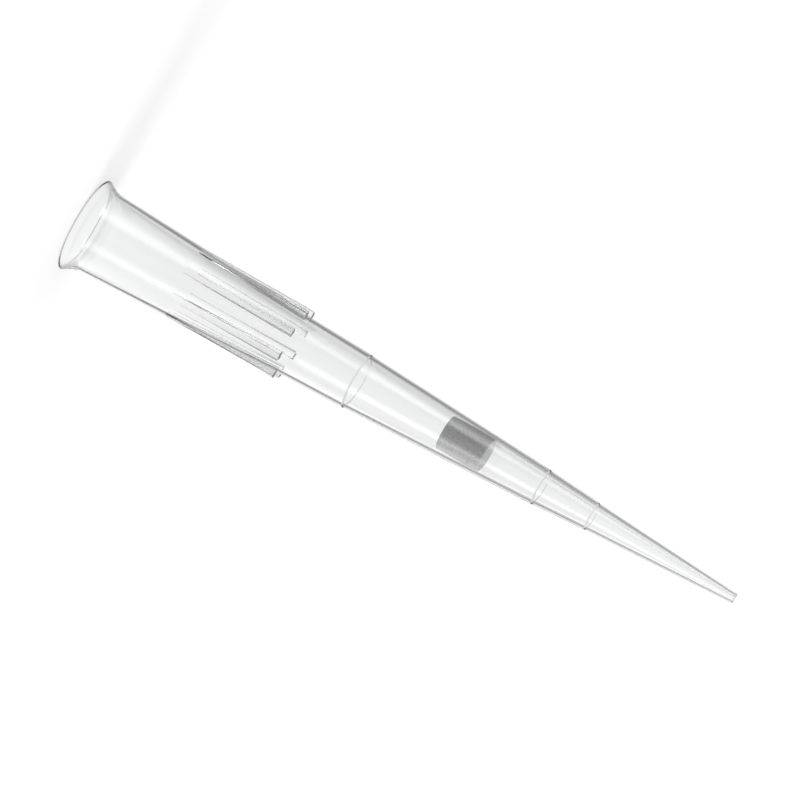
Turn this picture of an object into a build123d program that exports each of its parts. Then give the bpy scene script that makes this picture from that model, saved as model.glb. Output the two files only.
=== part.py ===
from build123d import *
import os

# Filter pipette tip, standing on its mouth.
# Frame: origin at the centre of the mouth rim, +Z along the axis towards the orifice.
# Millimetres.  Radii are of the outside skin, and walls are measured square to the axis.

# --- Flared mouth, a cone with rounded roots; heights and radii are of the corners before rounding ---
mouth_radius = 3.45
lip_wall = 0.25
rim_round = 0.08
flare_height = 0.874
flare_root_round = 1.50
bore_flare_setback = 0.13
bore_flare_round = 1.70

# --- Upper barrel, which takes the pipette's nose cone ---
upper_barrel_length = 7.206
upper_barrel_radius = 2.913
upper_barrel_wall = 0.174
shoulder_radius = 2.625
shoulder_wall = 0.265

# --- Sealing land, a short straight stretch of bore that grips the nose cone ---
land_depth = 6.40
land_length = 1.00

# --- Lower barrel, in two tapers, down to the first step ring ---
ribbed_barrel_length = 8.95
ribbed_barrel_end_radius = 2.15
ribbed_barrel_wall = 0.24
plain_barrel_length = 4.52
plain_barrel_end_radius = 2.025
plain_barrel_wall = 0.265

# --- Filter chamber, neck and point, each below a step ring ---
step_depth = 0.04
step_height = 0.08
chamber_length = 14.40
chamber_end_radius = 1.325
chamber_wall = 0.24
chamber_end_wall = 0.26
neck_length = 3.96
neck_end_radius = 1.03
neck_wall = 0.235
neck_end_wall = 0.205
point_length = 11.09
orifice_radius = 0.34
point_wall = 0.18
orifice_wall = 0.12
orifice_round = 0.03

# --- Ribs along the barrel, whose square ends rest on a rack ---
rib_count = 8
first_rib_angle = 0.0
rib_start_setback = 0.02
rib_length = 8.44
rib_start_radius = 2.67
rib_end_radius = 2.69
rib_root_width = 0.59
rib_top_width = 0.57

# --- Filter plug, wedged in the taper at its lower edge ---
plug_setback = 6.91
plug_length = 3.26
plug_seat_length = 0.50
plug_back_gap = 0.19

# Heights of the stages along the axis.
barrel_top = flare_height
shoulder = barrel_top + upper_barrel_length
ribbed_end = shoulder + ribbed_barrel_length
first_ring = ribbed_end + plain_barrel_length
second_ring = first_ring + chamber_length
third_ring = second_ring + neck_length
orifice = third_ring + point_length

# Each stage as (height, outside radius, wall) where it starts and where it ends.
STAGES = [
    ((barrel_top, upper_barrel_radius, upper_barrel_wall), (shoulder, shoulder_radius, shoulder_wall)),
    ((shoulder, shoulder_radius, shoulder_wall), (ribbed_end, ribbed_barrel_end_radius, ribbed_barrel_wall)),
    ((ribbed_end, ribbed_barrel_end_radius, ribbed_barrel_wall),
     (first_ring, plain_barrel_end_radius, plain_barrel_wall)),
    ((first_ring + step_height, plain_barrel_end_radius - step_depth, chamber_wall),
     (second_ring, chamber_end_radius, chamber_end_wall)),
    ((second_ring + step_height, chamber_end_radius - step_depth, neck_wall),
     (third_ring, neck_end_radius, neck_end_wall)),
    ((third_ring + step_height, neck_end_radius - step_depth, point_wall),
     (orifice, orifice_radius, orifice_wall)),
]


def skin_at(height):
    """Outside radius and wall of the plain body at a height, read off its stage."""
    for (start, start_radius, start_wall), (end, end_radius, end_wall) in STAGES:
        if start <= height <= end:
            share = (height - start) / (end - start)
            radius = start_radius + share * (end_radius - start_radius)
            return radius, start_wall + share * (end_wall - start_wall)
    raise ValueError(f"no stage holds the height {height}")


def bore_radius(height):
    radius, wall = skin_at(height)
    return radius - wall


def turned(points):
    """The solid of revolution under a line of (radius, height) points, closed along the axis."""
    bottom = points[0][1]
    top = points[-1][1]
    outline = Polyline((0, bottom), *points, (0, top), close=True)
    return revolve(make_face(Plane.XZ * outline), Axis.Z)


def rounded(body, height, size):
    """The body with its circular edges at one height rounded."""
    circles = body.edges().filter_by(GeomType.CIRCLE)
    return fillet(circles.filter_by_position(Axis.Z, height - 0.01, height + 0.01), size)


def outside():
    """The plain skin, from the mouth rim to the orifice."""
    points = [(mouth_radius, 0)]
    for start, end in STAGES:
        points += [(start[1], start[0]), (end[1], end[0])]
    return rounded(turned(without_repeats(points)), barrel_top, flare_root_round)


def bore():
    """The hollow, with the sealing land let into the upper barrel's taper."""
    taper = (bore_radius(barrel_top) - bore_radius(shoulder)) / upper_barrel_length
    flare_end_radius = bore_radius(barrel_top) + taper * bore_flare_setback
    land_radius = bore_radius(land_depth + land_length / 2)
    points = [
        (mouth_radius - lip_wall, 0),
        (flare_end_radius, barrel_top - bore_flare_setback),
        (land_radius, land_depth),
        (land_radius, land_depth + land_length),
        (bore_radius(shoulder), shoulder),
    ]
    for start, end in STAGES[1:]:
        points += [(start[1] - start[2], start[0]), (end[1] - end[2], end[0])]
    return rounded(turned(without_repeats(points)), barrel_top - bore_flare_setback, bore_flare_round)


def without_repeats(points):
    """Drops a point that equals the one before it, where two stages join."""
    return [point for i, point in enumerate(points) if i == 0 or point != points[i - 1]]


def ribs():
    """Drafted bars around the barrel, trimmed to one turned envelope."""
    start = shoulder + rib_start_setback
    end = start + rib_length
    root_radius = skin_at(end)[0]
    core_radius = bore_radius(end)
    draft = (rib_root_width - rib_top_width) / (rib_end_radius - root_radius)
    core_width = rib_root_width + draft * (root_radius - core_radius)
    reach = max(rib_start_radius, rib_end_radius)
    outer_width = rib_top_width - draft * (reach - rib_end_radius)
    section = make_face(Polyline(
        (core_radius, -core_width / 2),
        (reach, -outer_width / 2),
        (reach, outer_width / 2),
        (core_radius, core_width / 2),
        close=True,
    ))
    bar = Pos(0, 0, start) * extrude(section, rib_length)
    bars = [Rot(0, 0, first_rib_angle + i * 360 / rib_count) * bar for i in range(rib_count)]
    envelope = turned([(rib_start_radius, start), (rib_end_radius, end)])
    return [bar & envelope for bar in bars]


def tip_body():
    body = outside()
    for rib in ribs():
        body += rib
    body -= bore()
    body = rounded(body, 0, rim_round)
    return rounded(body, orifice, orifice_round)


def filter_plug():
    """A straight-backed plug whose lower edge has taken the taper of the bore."""
    back = first_ring + plug_setback
    front = back + plug_length
    seat = front - plug_seat_length
    return turned([
        (bore_radius(back) - plug_back_gap, back),
        (bore_radius(seat), seat),
        (bore_radius(front), front),
    ])


os.makedirs("parts", exist_ok=True)
for name, shape in [("tip_body", tip_body()), ("filter_plug", filter_plug())]:
    export_step(shape, f"parts/{name}.step")
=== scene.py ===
# %% [markdown]
# # A clear filter tip for a laboratory pipette
#
# The tip is one thin shell of clear plastic with a grey porous plug inside it.  Almost all that
# the eye reads as "tip" is light being bent in the shell: a dark line where the wall is seen edge
# on, a pale streak where a lamp is mirrored, a box where a rib ends.  So the wall has its true
# thickness here, and the inside is modelled as carefully as the outside.
#
# The frame comes first.  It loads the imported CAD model, which fixes the place and the size of
# everything: the tip stands on its mouth at the origin and points up along +Z.

# %% Load the frame
import math

import bmesh
import bpy
from mathutils import Matrix, Vector, noise


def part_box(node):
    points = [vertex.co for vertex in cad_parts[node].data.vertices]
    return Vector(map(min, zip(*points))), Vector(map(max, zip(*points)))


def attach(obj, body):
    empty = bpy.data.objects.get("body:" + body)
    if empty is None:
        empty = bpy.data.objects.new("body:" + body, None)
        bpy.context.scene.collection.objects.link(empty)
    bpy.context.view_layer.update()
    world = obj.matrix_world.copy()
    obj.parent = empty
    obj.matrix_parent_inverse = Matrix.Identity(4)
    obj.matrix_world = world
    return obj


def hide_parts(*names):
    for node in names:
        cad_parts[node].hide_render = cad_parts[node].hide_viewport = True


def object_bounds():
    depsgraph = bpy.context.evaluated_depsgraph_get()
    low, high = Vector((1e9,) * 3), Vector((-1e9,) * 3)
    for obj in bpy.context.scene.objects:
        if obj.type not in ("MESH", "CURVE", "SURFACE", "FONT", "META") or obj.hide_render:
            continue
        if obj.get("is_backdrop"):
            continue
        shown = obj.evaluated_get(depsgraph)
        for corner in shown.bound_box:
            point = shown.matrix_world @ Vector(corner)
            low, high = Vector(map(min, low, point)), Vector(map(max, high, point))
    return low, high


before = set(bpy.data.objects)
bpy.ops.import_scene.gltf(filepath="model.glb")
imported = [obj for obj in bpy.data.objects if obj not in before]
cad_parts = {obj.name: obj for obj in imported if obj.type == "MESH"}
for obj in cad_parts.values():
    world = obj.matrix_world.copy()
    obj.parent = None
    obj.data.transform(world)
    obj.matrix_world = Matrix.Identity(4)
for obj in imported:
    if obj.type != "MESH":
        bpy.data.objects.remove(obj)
cad_low, cad_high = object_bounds()
plug_low, plug_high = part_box("filter_plug")
print("CAD box, mm:", [round(1000 * side, 2) for side in cad_high - cad_low])

# %% [markdown]
# ## The shell's measures
#
# A tip is drawn by its maker as a list of heights with an outside radius and a bore radius at
# each.  The same list is used here, in millimetres, and `MM` turns it into Blender's metres.
#
# A plain cone with a Solidify modifier would be quicker, but its wall would be even.  The real wall
# is thickest at the shoulder and thinnest at the orifice, and each change moves the dark lines
# that it draws.  So the outside and the bore have a line of their own.

# %% Heights and radii
MM = 0.001
length = cad_high.z / MM

OUTSIDE = [  # (height, radius) from the mouth to the orifice
    (0.0, 3.44), (0.874, 2.913), (8.08, 2.625), (17.03, 2.15),
    (21.55, 2.025), (21.63, 1.985), (35.95, 1.325), (36.03, 1.285),
    (39.91, 1.03), (39.99, 0.99), (length, 0.34),
]
BORE = [  # the same way up, inside
    (0.0, 3.20), (0.744, 2.746), (8.08, 2.36),
    (17.03, 1.91), (21.55, 1.76), (21.63, 1.745), (35.95, 1.065), (36.03, 1.05),
    (39.91, 0.825), (39.99, 0.81), (length, 0.22),
]


def radius_at(height, line):
    """Radius of a line of (height, radius) points at a height between two of them."""
    for (low, low_radius), (high, high_radius) in zip(line, line[1:]):
        if low <= height <= high:
            return low_radius + (high_radius - low_radius) * (height - low) / (high - low)
    raise ValueError(f"the line has no height {height}")


lip = OUTSIDE[0][1] - BORE[0][1]
print("length", round(length, 2), "mm, wall at the mouth", round(lip, 2), "mm")

# %% [markdown]
# ## Rounded corners
#
# No moulded corner is perfectly sharp, and in clear plastic each corner draws a line whose width is
# that of its round.  A Bevel modifier on the finished shell would round the rings too, but it
# also catches the ribs.  So the corners are rounded in the half section, before it is turned:
# `bevel` on a single vertex of a line of edges puts an arc there.  It wants the distance from the
# corner to where the arc starts, which follows from the radius and the angle between the sides.

# %% Round the corners of a line
ARC_STEPS = 10
STEP_ROUND = 0.05
ROUNDS = {0.0: 0.08, 0.744: 1.70, 0.874: 1.50, length: 0.03}   # radius by the corner's height
for height, _ in OUTSIDE[4:10]:
    ROUNDS[height] = STEP_ROUND


def round_corner(bm, corner, radius):
    """Puts an arc of about this radius, in mm, in place of a vertex between two edges."""
    back, ahead = (edge.other_vert(corner).co - corner.co for edge in corner.link_edges)
    start = radius * MM / math.tan(back.angle(ahead) / 2)
    bmesh.ops.bevel(bm, geom=[corner], offset=start, offset_type="OFFSET", segments=ARC_STEPS,
                    profile=0.5, affect="VERTICES", material=-1)


print("corners are rounded at", len(ROUNDS), "heights, by", sorted(set(ROUNDS.values())), "mm")

# %% [markdown]
# ## Turning the shell
#
# The plain shell is a body of revolution.  Its half section is a closed loop of points, up the
# outside and down the bore, and one full turn about +Z makes the wall.  `use_merge` joins the
# last step of the turn to the first, which leaves no seam.  The Screw modifier does the same, but
# the ribs need the mesh at once: they are pulled out of this skin, and the rib zone gets extra
# rings here, so that their rows follow the taper.

# %% Spin the half section
STEPS = 240                       # 1.5 degrees a step, so that 30 steps lie between rib centres
RIB_START, RIB_END = 8.10, 16.54  # heights where the ribs begin and end
RIB_ROWS = [RIB_START, 9.7, 10.7, 11.7, 12.7, 13.7, 14.7, 15.7, RIB_END]  # heights of extra rings
SAME_PLACE = 1e-7                 # metres, under which two points are one


def with_rows(line, rows):
    """The line with a point added at each of these heights."""
    return sorted(line + [(height, radius_at(height, line)) for height in rows])


def spun(half_section):
    """A mesh turned about +Z from a closed loop of (height, radius) points."""
    bm = bmesh.new()
    corners = [bm.verts.new((radius * MM, 0, height * MM)) for height, radius in half_section]
    for i, corner in enumerate(corners):
        bm.edges.new((corners[i - 1], corner))
    for corner, (height, _) in zip(corners, half_section):
        if height in ROUNDS:
            round_corner(bm, corner, ROUNDS[height])
    bmesh.ops.spin(bm, geom=bm.verts[:] + bm.edges[:], cent=(0, 0, 0), axis=(0, 0, 1),
                   angle=math.tau, steps=STEPS, use_merge=True)
    bmesh.ops.remove_doubles(bm, verts=bm.verts, dist=SAME_PLACE)
    bmesh.ops.recalc_face_normals(bm, faces=bm.faces)
    if bm.calc_volume(signed=True) < 0:
        bmesh.ops.reverse_faces(bm, faces=bm.faces)
    return bm


def open_edges(bm):
    """How many edges don't join two faces, which is none in a closed skin."""
    return sum(not edge.is_manifold for edge in bm.edges)


shell = spun(with_rows(OUTSIDE, RIB_ROWS) + BORE[::-1])
print("shell:", len(shell.faces), "faces,", round(shell.calc_volume() * 1e9, 1), "mm3")

# %% [markdown]
# ## Eight ribs
#
# From the shoulder on, the barrel carries eight straight ribs.  They centre the tip in the round
# holes of its rack, and the rack holds the tip by their square ends.  The barrel tapers, but the
# tops of the ribs run almost parallel to the axis.  So a rib starts with a step of a twentieth of
# a millimetre and ends standing half a millimetre out.
#
# Each rib is drafted: a little wider at its foot than at its top, so that it leaves the mould.  The
# draft is written as an angle round the tip at each radius, because the points of a turned skin
# are moved by angle and radius.

# %% Measure a rib
RIBS = 8
FOOT_WIDTH, TOP_WIDTH = 0.59, 0.57     # at the radius of the foot at RIB_END, and at the top
START_RADIUS, END_RADIUS = 2.67, 2.69  # of the rib's top
foot_radius = radius_at(RIB_END, OUTSIDE)
TOP = [(RIB_START, START_RADIUS), (RIB_END, END_RADIUS)]


def half_angle(radius):
    """Angle from a rib's middle to its side at a radius, by the draft of its sides."""
    share = (radius - foot_radius) / (END_RADIUS - foot_radius)
    return math.asin((FOOT_WIDTH + share * (TOP_WIDTH - FOOT_WIDTH)) / 2 / radius)


print("a rib stands", round(START_RADIUS - radius_at(RIB_START, OUTSIDE), 2), "to",
      round(END_RADIUS - foot_radius, 2), "mm out and is",
      round(2 * math.degrees(half_angle(foot_radius)), 1), "degrees wide at its foot")

# %% [markdown]
# ## Room for the ribs
#
# A bar laid over the shell would leave the skin's surface inside the rib, and clear plastic shows
# it.  A Boolean union would remove it, but it leaves long slivers that shade badly.  So the ribs
# are made from the skin's own faces.  First the points of each ring are slid round the barrel,
# until six steps either side of a rib's middle lie on its foot.  The points between two ribs
# spread evenly over the gap.

# %% Slide the skin's points to the feet of the ribs
FOOT_STEPS = 6
REACH = 0.01        # mm past the first and the last row that still counts as the rib zone
SKIN_DEPTH = 0.05   # mm, well under the wall, that tells the outside from the bore
lowest, highest = RIB_START - REACH, RIB_END + REACH
pitch = math.tau / RIBS
steps_apart = STEPS // RIBS


def is_skin(vert):
    """True for a point of the outside surface in the rib zone."""
    height = vert.co.z / MM
    return (lowest < height < highest
            and vert.co.xy.length / MM > radius_at(height, OUTSIDE) - SKIN_DEPTH)


def bearings(vert):
    """The point's bearing round the tip, and that of the middle of the nearest rib."""
    angle = math.atan2(vert.co.y, vert.co.x)
    return angle, round(angle / pitch) * pitch


def rib_place(vert):
    """The middle of the nearest rib, and how many steps the point lies from it."""
    angle, middle = bearings(vert)
    return middle, round((angle - middle) / pitch * steps_apart)


def put(vert, radius, angle):
    """Moves a point to a radius, in mm, and a bearing, at the height where it is."""
    vert.co = (radius * MM * math.cos(angle), radius * MM * math.sin(angle), vert.co.z)


place = {vert: rib_place(vert) for vert in shell.verts if is_skin(vert)}
for vert, (middle, step) in place.items():
    radius = vert.co.xy.length / MM
    half = half_angle(radius)
    if abs(step) <= FOOT_STEPS:
        slid = half * step / FOOT_STEPS
    else:
        gap_share = (abs(step) - FOOT_STEPS) / (steps_apart / 2 - FOOT_STEPS)
        slid = math.copysign(half + gap_share * (pitch / 2 - half), step)
    put(vert, radius, middle + slid)
print(len(place), "points of the skin slid")

# %% [markdown]
# ## Pulling the ribs out
#
# `extrude_face_region` copies the faces of the feet and builds sides around them.  The faces that
# were copied are deleted, because they would stay behind as a wall inside each rib, and the new
# points are moved out to the rib's top.  The rib and the skin are then one closed wall, so light
# passes from one into the other as it does in one piece of plastic.

# %% Extrude the ribs
feet = [face for face in shell.faces
        if all(vert in place and abs(place[vert][1]) <= FOOT_STEPS for vert in face.verts)]
lifted = bmesh.ops.extrude_face_region(shell, geom=feet)["geom"]
bmesh.ops.delete(shell, geom=feet, context="FACES")
for vert in (part for part in lifted if isinstance(part, bmesh.types.BMVert)):
    radius = radius_at(min(max(vert.co.z / MM, RIB_START), RIB_END), TOP)
    angle, middle = bearings(vert)
    foot = half_angle(vert.co.xy.length / MM)
    put(vert, radius, middle + (angle - middle) * half_angle(radius) / foot)
bmesh.ops.remove_doubles(shell, verts=shell.verts, dist=SAME_PLACE)
print("with ribs:", len(shell.faces), "faces,", round(shell.calc_volume() * 1e9, 1), "mm3,",
      open_edges(shell), "open edges")

# %% [markdown]
# ## Rounding the ribs
#
# The free edges of the ribs have a small round too, which draws the line along each of them.
# `bevel` makes it.  A Bevel modifier would choose its edges by an angle alone, and round the foot of
# each rib too.  That stays a crease, as the cutter left it in the mould, so the edges are picked
# here by where they are as well.

# %% Bevel the ribs
RIB_ROUND = 0.07
RIB_ARC_STEPS = 5
SQUARE = math.radians(40)   # the turn of an edge, above which it is one of the ribs' square edges
FOOT_DEPTH = 0.02           # mm below the foot that still counts as the rib


def is_rib_edge(edge):
    """True for an edge that stands out on a rib, and not for the crease at its foot."""
    middle = (edge.verts[0].co + edge.verts[1].co) / 2 / MM
    return (RIB_START + REACH < middle.z < highest and middle.xy.length > foot_radius - FOOT_DEPTH
            and edge.is_convex and edge.calc_face_angle(0) > SQUARE)


rib_edges = [edge for edge in shell.edges if is_rib_edge(edge)]
bmesh.ops.bevel(shell, geom=rib_edges, offset=RIB_ROUND * MM, offset_type="OFFSET",
                segments=RIB_ARC_STEPS, profile=0.5, affect="EDGES", material=-1, clamp_overlap=True)
print("rounded:", len(shell.faces), "faces,", open_edges(shell), "open edges")

# %% [markdown]
# ## From a mesh to a piece
#
# The real shell is smooth to the touch, with a crisp line only where a rib or a step ring ends.
# Smooth shading gives the first, but it also smears one surface's shade into the next, which
# shows as a false bend in clear plastic.  The editor's smoothing by angle knows one limit, and a
# taper that changes by one degree is under it.  So an edge is marked sharp in three cases: it
# turns by a lot, a large face meets a small one of a round, or it is a ring beside a tall row.

# %% Make the shell a piece of the tip
SHARP = math.radians(35)   # above this turn an edge is always crisp
FLUSH = math.radians(0.4)  # below this turn it never is
UNEVEN = 4                 # times the area of one face that the other has
TALL = 0.3                 # mm, above which a row is part of a straight taper and not of a round
SAME_HEIGHT = 1e-8         # metres between the ends of an edge that runs round the tip


def tallest(edge):
    """Height in mm of the taller of the two faces at an edge."""
    return max(max(vert.co.z for vert in face.verts) - min(vert.co.z for vert in face.verts)
               for face in edge.link_faces) / MM


def is_crisp(edge):
    """True where two true surfaces meet, so that the shading of one doesn't run into the other."""
    angle = edge.calc_face_angle(0)
    small, large = sorted(face.calc_area() for face in edge.link_faces)
    ring = abs(edge.verts[0].co.z - edge.verts[1].co.z) < SAME_HEIGHT
    return angle > SHARP or angle > FLUSH and (large > UNEVEN * small or ring and tallest(edge) > TALL)


def piece(name, bm, slot, *nodes):
    """Turns a bmesh into a smooth-shaded piece that stands for these CAD nodes."""
    for face in bm.faces:
        face.smooth = True
    for edge in bm.edges:
        edge.smooth = not is_crisp(edge)
    mesh = bpy.data.meshes.new(name)
    bm.to_mesh(mesh)
    bm.free()
    made = bpy.data.objects.new(name, mesh)
    bpy.context.scene.collection.objects.link(made)
    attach(made, "root")
    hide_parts(*nodes)
    print(name, "has", len(mesh.polygons), "faces")
    return made


shell_piece = piece("clear_shell", shell, "clear_plastic", "tip_body")

# %% [markdown]
# ## The filter plug
#
# The plug is a short cylinder of sintered polyethylene: beads about a tenth of a millimetre
# across, fused where they touch.  It was pushed down the bore until its lower edge wedged in the
# taper, so its front rim has taken the taper and its back stands a little clear of the wall.
#
# It is turned like the shell, from a line that starts and ends on the axis.  Its two rims are cut
# back a little, where beads have broken off.  A Cone from the Add menu has the taper but not the
# rims, and its sides are one tall row.  Here they are many short ones, which the beads need next.

# %% Turn the plug
BACK_GAP = 0.19        # between the plug's back rim and the bore
SEAT = 0.50            # length of the wedged stretch at the front
CLEARANCE = 0.012      # keeps the two surfaces apart where they touch
EDGE_ROUND = 0.07
ROW = 0.06             # spacing of the plug's rows of faces
PLUG_STEPS = 120       # of 3 degrees

back, front = plug_low.z / MM, plug_high.z / MM
back_radius = radius_at(back, BORE) - BACK_GAP
seat_radius = radius_at(front - SEAT, BORE) - CLEARANCE
front_radius = radius_at(front, BORE) - CLEARANCE


def stretch(start, end):
    """Points from start to end, a row apart, without the end."""
    steps = max(1, round(math.dist(start, end) / ROW))
    return [(start[0] + (end[0] - start[0]) * i / steps, start[1] + (end[1] - start[1]) * i / steps)
            for i in range(steps)]


corners = [(back, 0.0), (back, back_radius - EDGE_ROUND), (back + EDGE_ROUND, back_radius),
           (front - SEAT, seat_radius), (front - EDGE_ROUND, front_radius),
           (front, front_radius - EDGE_ROUND), (front, 0.0)]
plug_line = [point for start, end in zip(corners, corners[1:]) for point in stretch(start, end)]
plug_line.append(corners[-1])

plug = bmesh.new()
points = [plug.verts.new((radius * MM, 0, height * MM)) for height, radius in plug_line]
line = [plug.edges.new(pair) for pair in zip(points, points[1:])]
bmesh.ops.spin(plug, geom=points + line, cent=(0, 0, 0), axis=(0, 0, 1),
               angle=math.tau, steps=PLUG_STEPS, use_merge=True)
bmesh.ops.remove_doubles(plug, verts=plug.verts, dist=SAME_PLACE)
bmesh.ops.recalc_face_normals(plug, faces=plug.faces)
print("plug:", round(front - back, 2), "mm long,", len(plug.faces), "faces,",
      open_edges(plug), "open edges")

# %% [markdown]
# ## Beads in the skin of the plug
#
# A bump map would make the beads on the face of the plug, but its outline would stay as straight
# as a turned bar's.  So the skin itself is pressed in, by the distance to the middle of the nearest
# bead.  `noise.voronoi` gives that distance for cells one unit apart, and dividing by the bead
# spacing brings them to size.

# %% Raise the beads
BEAD = 0.11            # bead spacing
BEAD_RISE = 0.010      # depth of the valleys between beads
FALL = 2               # how fast a bead falls off: its valley starts 0.7 of a spacing from its middle

plug.normal_update()
for vert in plug.verts:
    nearest = noise.voronoi(vert.co / (BEAD * MM))[0][0]
    vert.co -= vert.normal * BEAD_RISE * MM * min(1.0, FALL * nearest * nearest)
print("beads", BEAD, "mm apart stand", BEAD_RISE, "mm out")
plug_piece = piece("filter", plug, "filter_plastic", "filter_plug")

# %% [markdown]
# ## The uneven face of moulded plastic
#
# Polypropylene is never as clear as glass.  Its gloss is uneven over a few tenths of a millimetre,
# and faint flow lines run along the tip, where the melt ran from the gate.  Without them the shell
# would look like glass.
#
# Both are Noise textures on Object coordinates, so that they stay on the tip wherever it is put.
# A Mapping node draws the flow lines out along Z.  They only tilt the surface, through a Bump
# node, and the haze only changes its roughness, because the plastic has no colour to vary.

# %% Make the haze and the flow lines
FLOW_SCALE, FLOW_STRETCH = 2200.0, 0.06   # lines half a millimetre wide, drawn out along the tip
FLOW_DEPTH = 0.01 * MM
HAZE_SCALE = 3500.0                       # patches of a third of a millimetre
SMOOTHEST, ROUGHEST = 0.01, 0.06


def material(name):
    made = bpy.data.materials.new(name)
    made.use_nodes = True
    made.node_tree.nodes.clear()
    return made, made.node_tree.nodes, made.node_tree.links


clear, nodes, links = material("clear_polypropylene")
coords = nodes.new("ShaderNodeTexCoord")
along = nodes.new("ShaderNodeMapping")
along.inputs["Scale"].default_value = (1.0, 1.0, FLOW_STRETCH)
links.new(coords.outputs["Object"], along.inputs["Vector"])

flow = nodes.new("ShaderNodeTexNoise")
flow.inputs["Scale"].default_value = FLOW_SCALE
flow.inputs["Detail"].default_value = 3.0
links.new(along.outputs["Vector"], flow.inputs["Vector"])

haze = nodes.new("ShaderNodeTexNoise")
haze.inputs["Scale"].default_value = HAZE_SCALE
haze.inputs["Detail"].default_value = 2.0
links.new(coords.outputs["Object"], haze.inputs["Vector"])

roughness = nodes.new("ShaderNodeMapRange")
roughness.inputs["To Min"].default_value = SMOOTHEST
roughness.inputs["To Max"].default_value = ROUGHEST
links.new(haze.outputs["Fac"], roughness.inputs["Value"])

bump = nodes.new("ShaderNodeBump")
bump.inputs["Strength"].default_value = 0.05
bump.inputs["Distance"].default_value = FLOW_DEPTH
links.new(flow.outputs["Fac"], bump.inputs["Height"])
print("roughness from", SMOOTHEST, "to", ROUGHEST)

# %% [markdown]
# ## Clear plastic
#
# The shell is unpigmented polypropylene, refractive index 1.49.  A Principled shader with full
# transmission bends and mirrors light at each of its surfaces, and a volume absorption greys the
# long paths along the wall.  A Glass shader does the first too, but the Principled one is also
# what the exported model can keep.
#
# A lamp's shadow ray can't follow a bend, so it would find the shell opaque, and the lamp would
# never light the plug inside.  A Transparent shader takes its place for shadow rays alone.

# %% Make the clear plastic
REFRACTION = 1.49
CLEAR = (0.995, 0.997, 1.0, 1)
LET_THROUGH = (0.985, 0.985, 0.985, 1)   # of a lamp's light, at each surface
ABSORBED, DENSITY = (0.5, 0.5, 0.5, 1), 400.0

plastic = nodes.new("ShaderNodeBsdfPrincipled")
plastic.inputs["Base Color"].default_value = CLEAR
plastic.inputs["IOR"].default_value = REFRACTION
plastic.inputs["Transmission Weight"].default_value = 1.0
links.new(roughness.outputs["Result"], plastic.inputs["Roughness"])
links.new(bump.outputs["Normal"], plastic.inputs["Normal"])

open_to_lamps = nodes.new("ShaderNodeBsdfTransparent")
open_to_lamps.inputs["Color"].default_value = LET_THROUGH
path = nodes.new("ShaderNodeLightPath")
either = nodes.new("ShaderNodeMixShader")
links.new(path.outputs["Is Shadow Ray"], either.inputs["Fac"])
links.new(plastic.outputs["BSDF"], either.inputs[1])
links.new(open_to_lamps.outputs["BSDF"], either.inputs[2])

absorption = nodes.new("ShaderNodeVolumeAbsorption")
absorption.inputs["Color"].default_value = ABSORBED
absorption.inputs["Density"].default_value = DENSITY
output = nodes.new("ShaderNodeOutputMaterial")
links.new(either.outputs["Shader"], output.inputs["Surface"])
links.new(absorption.outputs["Volume"], output.inputs["Volume"])
shell_piece.data.materials.append(clear)
print("clear plastic: refractive index", REFRACTION)

# %% [markdown]
# ## Porous filter
#
# Sintered polyethylene scatters light in every direction, so the plug is matt.  The pits between the
# beads are painted darker, as painted shade.  It could come from any noise, but a Voronoi texture
# with the surface's bead spacing puts the painted shade in each pit, where the skin is pressed in.

# %% Make the filter plastic
# The beads' own grey, and a darker grey that is painted shade in the pits between them.
BEAD_GREY, PAINTED_PIT_SHADE = (0.70, 0.70, 0.706, 1), (0.46, 0.46, 0.466, 1)
PIT_DEPTH = 0.02 * MM
MATT = 0.85

porous, nodes, links = material("porous_polyethylene")
coords = nodes.new("ShaderNodeTexCoord")
beads = nodes.new("ShaderNodeTexVoronoi")
beads.inputs["Scale"].default_value = 1 / (BEAD * MM)
links.new(coords.outputs["Object"], beads.inputs["Vector"])
# The ramp goes from the beads' own grey to the painted shade in the pits.
grey = nodes.new("ShaderNodeValToRGB")
grey.color_ramp.elements[0].color = BEAD_GREY
grey.color_ramp.elements[1].color = PAINTED_PIT_SHADE
grey.color_ramp.elements[1].position = 0.8
links.new(beads.outputs["Distance"], grey.inputs["Fac"])
pits = nodes.new("ShaderNodeBump")
pits.invert = True
pits.inputs["Strength"].default_value = 0.4
pits.inputs["Distance"].default_value = PIT_DEPTH
links.new(beads.outputs["Distance"], pits.inputs["Height"])
matt = nodes.new("ShaderNodeBsdfPrincipled")
matt.inputs["Roughness"].default_value = MATT
matt.inputs["IOR"].default_value = REFRACTION
links.new(grey.outputs["Color"], matt.inputs["Base Color"])
links.new(pits.outputs["Normal"], matt.inputs["Normal"])
output = nodes.new("ShaderNodeOutputMaterial")
links.new(matt.outputs["BSDF"], output.inputs["Surface"])
plug_piece.data.materials.append(porous)
print("filter plastic: beads", BEAD, "mm apart")

# %% [markdown]
# ## Camera
#
# A long lens from most of a metre away keeps the tip's sides nearly parallel.  The camera looks a
# little down on the standing tip, and it is rolled, so that the tip lies across the view.  A Track
# To constraint would aim it, but not roll it.  So its three axes are worked out as vectors, and
# they are the columns of its rotation.
#
# The camera comes before the lights because clear plastic shows what stands behind it and beside
# it: the light around the tip is laid out by its bearing from the far side.

# %% Place the camera
AZIMUTH, TILT, ROLL = math.radians(16.8), math.radians(10.8), math.radians(29.907)
DISTANCE = 0.80224
ASIDE, ABOVE = -0.515 * MM, 0.696 * MM   # from the tip's middle, in the camera's own directions
LENS = 540
FAR_END = 20                             # metres, past the floor's far edge


def direction(bearing, tilt):
    """The way from the tip to a point at this bearing, tilted up from the floor."""
    level = math.cos(tilt)
    return Vector((math.cos(bearing) * level, math.sin(bearing) * level, math.sin(tilt)))


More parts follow.
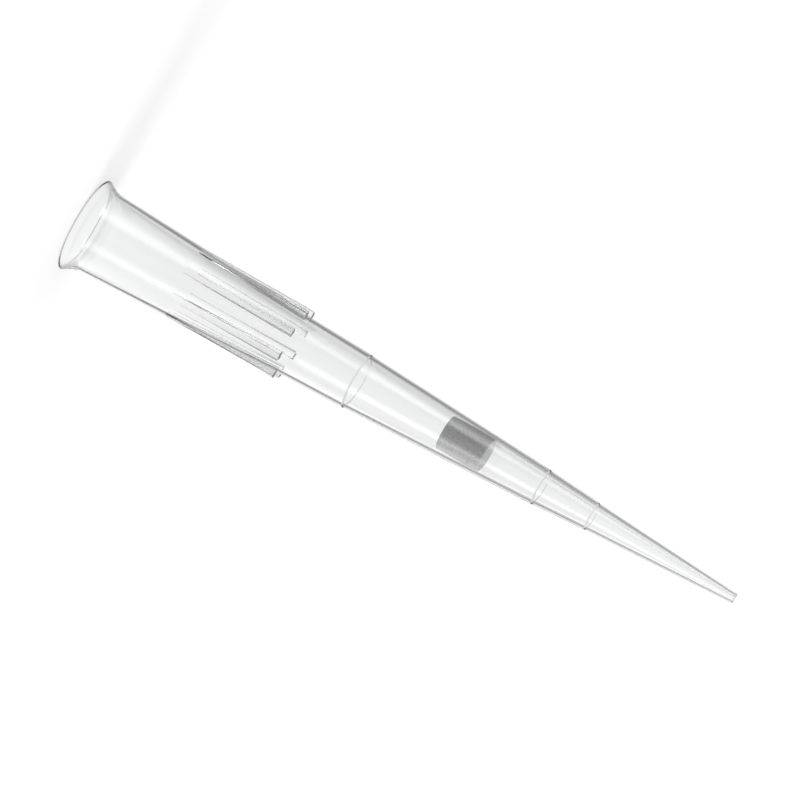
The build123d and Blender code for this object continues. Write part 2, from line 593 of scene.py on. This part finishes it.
towards = direction(AZIMUTH, TILT)
upright = (Vector((0, 0, 1)) - towards * towards.z).normalized()
across = upright.cross(towards)
right = upright * math.cos(ROLL) - across * math.sin(ROLL)
up = -upright * math.sin(ROLL) - across * math.cos(ROLL)
camera = bpy.data.objects.new("camera", bpy.data.cameras.new("camera"))
camera.data.lens = LENS
camera.data.clip_end = FAR_END
bpy.context.scene.collection.objects.link(camera)
bpy.context.scene.camera = camera
middle = Vector((0, 0, (cad_low.z + cad_high.z) / 2))
camera.location = middle + towards * DISTANCE + right * ASIDE + up * ABOVE
camera.rotation_euler = Matrix((right, up, towards)).transposed().to_euler()
print("camera", round(1000 * DISTANCE), "mm away, tilted", round(math.degrees(TILT), 1), "degrees")

# %% [markdown]
# ## White floor
#
# The tip stands on a plain white sheet.  Its paint takes the light and the tip's shadow like any
# matt surface, and a faint glow that only the eye sees lifts it the last step to white.  More
# light would whiten it too, but it would also bleach the plug.

# %% Paint the floor
FLOOR_WHITE = (0.8, 0.8, 0.8, 1)
FLOOR_GLOW = 0.10


def feed(links, socket, value):
    """Links a socket to another node's output, or sets it to a plain number."""
    if isinstance(value, bpy.types.NodeSocket):
        links.new(value, socket)
    else:
        socket.default_value = value


def math_node(nodes, links, operation, first, second=0.0):
    """Adds a Math node fed by sockets or plain numbers, and gives its output."""
    node = nodes.new("ShaderNodeMath")
    node.operation = operation
    feed(links, node.inputs[0], first)
    feed(links, node.inputs[1], second)
    return node.outputs[0]


def seen_by_eye(nodes, links):
    """1 for camera, mirrored and bent rays, 0 for the rays that carry light to a surface."""
    seen = nodes.new("ShaderNodeLightPath").outputs
    mirrored = math_node(nodes, links, "MAXIMUM", seen["Is Camera Ray"], seen["Is Glossy Ray"])
    return math_node(nodes, links, "MAXIMUM", mirrored, seen["Is Transmission Ray"])


white, nodes, links = material("white_sheet")
paint = nodes.new("ShaderNodeBsdfDiffuse")
paint.inputs["Color"].default_value = FLOOR_WHITE
glow = nodes.new("ShaderNodeEmission")
glow.inputs["Color"].default_value = (FLOOR_GLOW, FLOOR_GLOW, FLOOR_GLOW, 1)
links.new(seen_by_eye(nodes, links), glow.inputs["Strength"])
both = nodes.new("ShaderNodeAddShader")
links.new(paint.outputs["BSDF"], both.inputs[0])
links.new(glow.outputs["Emission"], both.inputs[1])
output = nodes.new("ShaderNodeOutputMaterial")
links.new(both.outputs["Shader"], output.inputs["Surface"])
print("floor glow", FLOOR_GLOW)

# %% [markdown]
# ## Laying the floor
#
# The sheet is one square, so wide that its edges lie far from the tip.  It lies a hair under the
# rim, because two surfaces in the same plane flicker between each other.
#
# The plastic doesn't see the sheet: it would mirror the sheet's edge as a hard line along the
# barrel.

# %% Lay the floor
FLOOR_SIZE = 4.0
FLOOR_DROP = 0.02 * MM

sheet = bmesh.new()
bmesh.ops.create_grid(sheet, x_segments=1, y_segments=1, size=FLOOR_SIZE / 2)
bmesh.ops.translate(sheet, verts=sheet.verts, vec=(0, 0, -FLOOR_DROP))
mesh = bpy.data.meshes.new("floor")
sheet.to_mesh(mesh)
sheet.free()
mesh.materials.append(white)
floor = bpy.data.objects.new("floor", mesh)
bpy.context.scene.collection.objects.link(floor)
floor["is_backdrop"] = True
floor.visible_glossy = floor.visible_transmission = False
print("floor", FLOOR_SIZE, "m wide")

# %% [markdown]
# ## A tent of soft boxes
#
# Clear plastic has no colour of its own: what it shows is the room, bent and mirrored.  Small
# clear things are therefore shown in a tent of white cloth, with soft boxes that shine through
# it and dark cards that give the edges their lines.  The world is that tent.
#
# Area lamps and planes as cards could stand round the tip instead.  But each of them would also
# light the floor or throw a shadow on it, and would come into view from some side.  So the tent is
# worked out in the world's nodes from two angles: the bearing of a ray round the tip, and its
# height.  Bearings are in degrees, with 0 straight behind the tip as the camera sees it.

# %% Find the way a ray goes
BEHIND = AZIMUTH + math.pi
DEGREES = 180 / math.pi

world = bpy.data.worlds.new("studio")
bpy.context.scene.world = world
world.use_nodes = True
nodes, links = world.node_tree.nodes, world.node_tree.links
nodes.clear()


def work(operation, first, second=0.0):
    """A Math node in the world's tree."""
    return math_node(nodes, links, operation, first, second)


coords = nodes.new("ShaderNodeTexCoord")
facing = nodes.new("ShaderNodeMapping")
facing.inputs["Rotation"].default_value = (0, 0, -BEHIND)
links.new(coords.outputs["Generated"], facing.inputs["Vector"])
way = nodes.new("ShaderNodeSeparateXYZ")
links.new(facing.outputs["Vector"], way.inputs[0])
bearing = work("MULTIPLY", work("ARCTAN2", way.outputs["Y"], way.outputs["X"]), DEGREES)
height = work("MULTIPLY", work("ARCSINE", way.outputs["Z"]), DEGREES)
print("straight behind the tip is at", round(math.degrees(BEHIND), 1), "degrees")

# %% [markdown]
# ## The boxes and cards
#
# The tent has five bands of height.  The camera looks down on the tip, so the ring that it sees
# bent in the barrel lies a little below the horizon.  Over the ring come the low band, the level
# band and the cloth overhead, and under it the cloth underfoot.  Each band is a list of
# (bearing, level) stops round the tent, where 1 is white cloth, more is a soft box and less is a
# card.  Past the bands, straight up and straight down, the poles are plain cloth.

# %% List the bands
RING = [
    (-180, 1), (-160, 1), (-142, 0.72), (-130, 0.82), (-118, 0.24), (-106, 0.39), (-94, 1.51),
    (-80, 2.45), (-66, 2.42), (-56, 1.58), (-46, 0.53), (-36, 0.15), (-28, 0.53), (-21, 1.43),
    (-15, 1.01), (-9, 0.9), (-3, 1.03), (3, 0.89), (9, 0.55), (15, 0.92), (21, 0.48), (28, 0.44),
    (38, 0.15), (52, 0.6), (66, 1.01), (80, 0.97), (94, 0.81), (106, 1.45), (118, 1.93),
    (130, 2.56), (146, 1.15), (180, 1),
]
LOW_BAND = [
    (-180, 1), (-162, 0.68), (-152, 1.1), (-146, 1.96), (-140, 2.92), (-134, 2.95), (-128, 2.02),
    (-120, 0.58), (-110, 0.89), (-96, 1.44), (-80, 0.98), (-60, 0.5), (-40, 0.5), (-20, 0.64),
    (-8, 0.5), (0, 0.5), (8, 0.5), (20, 0.5), (40, 0.5), (60, 0.5), (80, 0.5), (96, 1.35),
    (110, 2.35), (116, 3.39), (122, 3.56), (128, 3.51), (134, 2.82), (140, 1.75), (148, 0.88),
    (162, 1), (180, 1),
]
LEVEL_BAND = [
    (-180, 0.69), (-120, 0.75), (-75, 0.78), (-40, 0.65), (-15, 0.6), (15, 0.6), (40, 0.6),
    (75, 0.6), (120, 0.63), (180, 0.69),
]
OVERHEAD = [
    (-180, 0.7), (-120, 0.7), (-75, 0.7), (-40, 0.7), (-15, 0.7), (15, 0.7), (40, 0.7), (75, 0.7),
    (120, 0.7), (180, 0.7),
]
UNDERFOOT = [
    (-180, 0.92), (-120, 0.92), (-75, 0.92), (-40, 0.83), (-15, 0.76), (15, 0.9), (40, 0.75),
    (75, 0.75), (120, 0.92), (180, 0.92),
]
POLES = 0.90
print("stops:", sum(len(band) for band in (RING, LOW_BAND, LEVEL_BAND, OVERHEAD, UNDERFOOT)))

# %% [markdown]
# ## Hanging the tent
#
# A Map Range brings an angle to 0..1, and a Color Ramp then holds the levels.  Where two bands
# meet they fade into each other over a few degrees, through windows that add up to one at any
# height.  An environment texture could hold the tent too, but it would be a file to carry along,
# and its levels couldn't be read and changed here.

# %% Hang the tent
BRIGHTEST = 4.0     # a ramp holds 0 to 1, so levels are divided by this
# The heights in degrees between which one band fades into the next.
FOOT_SEAM, RING_SEAM, LEVEL_SEAM, HEAD_SEAM = (-15.5, -13.5), (-8.6, -7.4), (2, 6), (16, 22)
POLE_SEAM = (50, 60)
LOW_POLE_SEAM = (-60, -50)


def tones(value, low, high, stops):
    """Levels by a value, in straight lines from one (value, level) stop to the next."""
    spread = nodes.new("ShaderNodeMapRange")
    spread.inputs["From Min"].default_value = low
    spread.inputs["From Max"].default_value = high
    links.new(value, spread.inputs["Value"])
    ramp = nodes.new("ShaderNodeValToRGB")
    elements = ramp.color_ramp.elements
    elements.remove(elements[-1])
    for number, (place, tone) in enumerate(stops):
        position = (place - low) / (high - low)
        element = elements.new(position) if number else elements[0]
        element.position = position
        element.color = (tone / BRIGHTEST, tone / BRIGHTEST, tone / BRIGHTEST, 1)
    links.new(spread.outputs["Result"], ramp.inputs["Fac"])
    return work("MULTIPLY", ramp.outputs["Color"], BRIGHTEST)


def band(lower, upper, stops):
    """Levels round the tent between two seams, fading out over both."""
    window = [(lower[0], 0), (lower[1], 1), (upper[0], 1), (upper[1], 0)]
    return work("MULTIPLY", tones(height, -90, 90, window), tones(bearing, -180, 180, stops))


poles = [(LOW_POLE_SEAM[0], 1), (LOW_POLE_SEAM[1], 0), (POLE_SEAM[0], 0), (POLE_SEAM[1], 1)]
tent = work("MULTIPLY", tones(height, -90, 90, poles), POLES)
for lower, upper, stops in (
    (LOW_POLE_SEAM, FOOT_SEAM, UNDERFOOT),
    (FOOT_SEAM, RING_SEAM, RING),
    (RING_SEAM, LEVEL_SEAM, LOW_BAND),
    (LEVEL_SEAM, HEAD_SEAM, LEVEL_BAND),
    (HEAD_SEAM, POLE_SEAM, OVERHEAD),
):
    tent = work("ADD", tent, band(lower, upper, stops))
    print("band from", lower, "to", upper, "degrees of height:", len(stops), "stops")

# %% [markdown]
# ## Who sees the tent
#
# Only the plastic looks at the tent, by its mirrored and bent rays.  The camera sees plain white
# behind the tip.  Light that lands on matt surfaces is an even, softer white, so that the filter
# and the floor are lit plainly, whatever the tent looks like.  A ray that has already left a matt
# surface has a Diffuse Depth of one or more, and takes the plain level too.
#
# Two worlds can't be had at once, so a Light Path node tells the rays apart and Mix nodes choose
# the level.

# %% Join the tent, the backdrop and the plain light
AMBIENT = 0.58
BACKDROP = 1.0
NO_MATT_YET = 0.5   # the Diffuse Depth is 0 until a ray has left a matt surface, and then 1 or more


def mixed(share, plain, special):
    """The plain level, or the special one where share is 1."""
    node = nodes.new("ShaderNodeMix")
    for name, value in (("Factor", share), ("A", plain), ("B", special)):
        feed(links, node.inputs[name], value)
    return node.outputs["Result"]


ray = nodes.new("ShaderNodeLightPath").outputs
through_plastic = work("MULTIPLY",
                       work("MAXIMUM", ray["Is Glossy Ray"], ray["Is Transmission Ray"]),
                       work("LESS_THAN", ray["Diffuse Depth"], NO_MATT_YET))
level = mixed(ray["Is Camera Ray"], mixed(through_plastic, AMBIENT, tent), BACKDROP)
sky = nodes.new("ShaderNodeBackground")
sky.inputs["Color"].default_value = (1, 1, 1, 1)
links.new(level, sky.inputs["Strength"])
output = nodes.new("ShaderNodeOutputWorld")
links.new(sky.outputs["Background"], output.inputs["Surface"])
bpy.context.scene.view_settings.view_transform = "Standard"
print("plain light level", AMBIENT)

# %% [markdown]
# ## Key light
#
# One broad lamp from the side gives the filter its round shading and the tip its shadow.  It is a
# sun lamp, whose light is the same all over, with a disc thirty degrees wide, as a large soft box
# close by would be.  It isn't mirrored in the plastic, because the tent already holds the soft
# boxes that the plastic shows.

# %% Set the key light
KEY = 1.05                   # a sun of strength pi lights a white face to a level of 1
KEY_BEARING, KEY_HEIGHT = BEHIND - math.radians(90), math.radians(34)
KEY_WIDTH = math.radians(30)

key = bpy.data.objects.new("key", bpy.data.lights.new("key", "SUN"))
key.data.energy = KEY * math.pi
key.data.angle = KEY_WIDTH
bpy.context.scene.collection.objects.link(key)
key.rotation_euler = direction(KEY_BEARING, KEY_HEIGHT).to_track_quat("Z", "Y").to_euler()
key.visible_glossy = key.visible_transmission = False
print("key light level", KEY)

# %% [markdown]
# ## Enough turns for the light
#
# A ray that enters a rib or the wall edge-on is thrown from side to side many times before it
# leaves.  A limit of four such turns would drop it, and the ribs' sides would come out as black
# bars.  Two dozen turns let nearly all of the light out again.

# %% Let the rays turn often
cycles = bpy.context.scene.cycles
cycles.max_bounces, cycles.glossy_bounces, cycles.transmission_bounces = 32, 24, 24
print("bounces:", cycles.max_bounces, "in all")

# %% [markdown]
# ## Finish
#
# The visual model has to stay inside the CAD model's box.  The CAD box is printed at the start,
# and here how far the visual model reaches outside it.

# %% Compare the boxes and finish
low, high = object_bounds()
outside = [round(1000 * max(0, grow), 3) for grow in (*(cad_low - low), *(high - cad_high))]
print("outside the CAD box by, mm:", outside)
